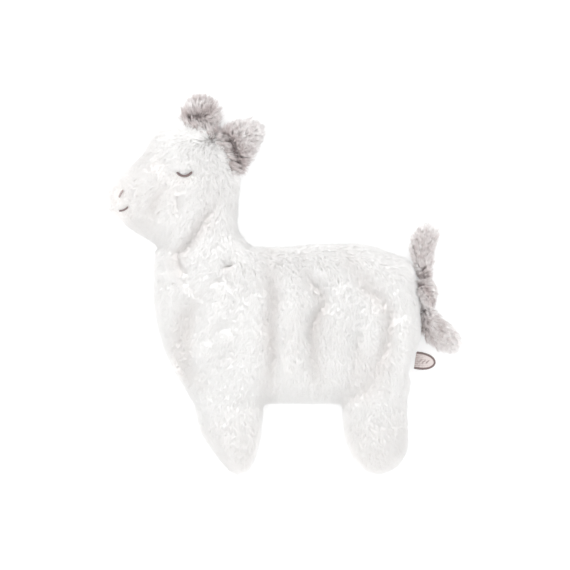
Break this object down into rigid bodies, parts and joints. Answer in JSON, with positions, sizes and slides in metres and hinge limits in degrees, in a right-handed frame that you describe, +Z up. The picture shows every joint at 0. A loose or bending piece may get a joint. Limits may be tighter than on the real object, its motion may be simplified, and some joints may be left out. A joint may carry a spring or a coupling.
{
  "type": "plush comforter",
  "caption": "Flat long-pile plush animal comforter in side profile, with folding legs, neck, ears, knotted strip tail and a woven label.",
  "frame": {"origin": "centre of the bounding box's underside, on the surface that the toy lies on", "axes": "+X from nose to tail, +Y from feet to ears, +Z up through the toy's thickness"},
  "size_m": [0.2934, 0.316, 0.0392],
  "materials": {
    "white_plush": "matte",
    "mauve_plush": "matte",
    "wadding": "matte",
    "taupe_thread": "satin",
    "pale_thread": "satin",
    "white_thread": "satin",
    "label_ribbon": "satin"
  },
  "bodies": {
    "torso": {"torso_front_panel": "white_plush", "torso_back_panel": "white_plush", "torso_wadding": "wadding", "closing_stitches": "white_thread", "tail_knot": "mauve_plush"},
    "head": {"head_front_panel": "white_plush", "head_back_panel": "white_plush", "head_wadding": "wadding", "front_eye": "taupe_thread", "front_nostril": "pale_thread", "front_mouth": "taupe_thread", "back_eye": "taupe_thread", "back_nostril": "pale_thread", "back_mouth": "taupe_thread"},
    "foreleg": {"foreleg_front_panel": "white_plush", "foreleg_back_panel": "white_plush", "foreleg_wadding": "wadding"},
    "hindleg": {"hindleg_front_panel": "white_plush", "hindleg_back_panel": "white_plush", "hindleg_wadding": "wadding"},
    "left_ear": {"left_ear_front_panel": "mauve_plush", "left_ear_back_panel": "mauve_plush"},
    "right_ear": {"right_ear_front_panel": "mauve_plush", "right_ear_back_panel": "mauve_plush"},
    "upper_tail": {"upper_tail_front_panel": "mauve_plush", "upper_tail_back_panel": "mauve_plush"},
    "lower_tail": {"lower_tail_front_panel": "mauve_plush", "lower_tail_back_panel": "mauve_plush"},
    "label": {"woven_label": "label_ribbon"}
  },
  "joints": [
    {"name": "neck_fold", "type": "hinge", "parent": "torso", "child": "head", "pos_m": [-0.07, 0.036, 0.008], "axis": [1, 0, 0], "range_deg": [-50, 50]},
    {"name": "foreleg_fold", "type": "hinge", "parent": "torso", "child": "foreleg", "pos_m": [-0.047, -0.1, 0.008], "axis": [-1, 0, 0], "range_deg": [-60, 60]},
    {"name": "hindleg_fold", "type": "hinge", "parent": "torso", "child": "hindleg", "pos_m": [0.077, -0.1, 0.008], "axis": [-1, 0, 0], "range_deg": [-60, 60]},
    {"name": "left_ear_fold", "type": "hinge", "parent": "head", "child": "left_ear", "pos_m": [-0.0728, 0.13382, 0.008], "axis": [0.9574, -0.2888, 0], "range_deg": [-45, 45], "stiffness_Nm_per_rad": 0.004},
    {"name": "right_ear_fold", "type": "hinge", "parent": "head", "child": "right_ear", "pos_m": [-0.0466, 0.10825, 0.008], "axis": [0.4071, -0.9134, 0], "range_deg": [-45, 45], "stiffness_Nm_per_rad": 0.004},
    {"name": "upper_tail_fold", "type": "hinge", "parent": "torso", "child": "upper_tail", "pos_m": [0.118, 0.003, 0.006], "axis": [1, 0, 0], "range_deg": [-50, 50]},
    {"name": "lower_tail_fold", "type": "hinge", "parent": "torso", "child": "lower_tail", "pos_m": [0.1175, -0.019, 0.006], "axis": [-1, 0, 0], "range_deg": [-50, 50]},
    {"name": "label_flap", "type": "hinge", "parent": "torso", "child": "label", "pos_m": [0.1094, -0.064, 0.008], "axis": [-0.1392, -0.9903, 0], "range_deg": [-55, 55], "stiffness_Nm_per_rad": 0.0002}
  ]
}
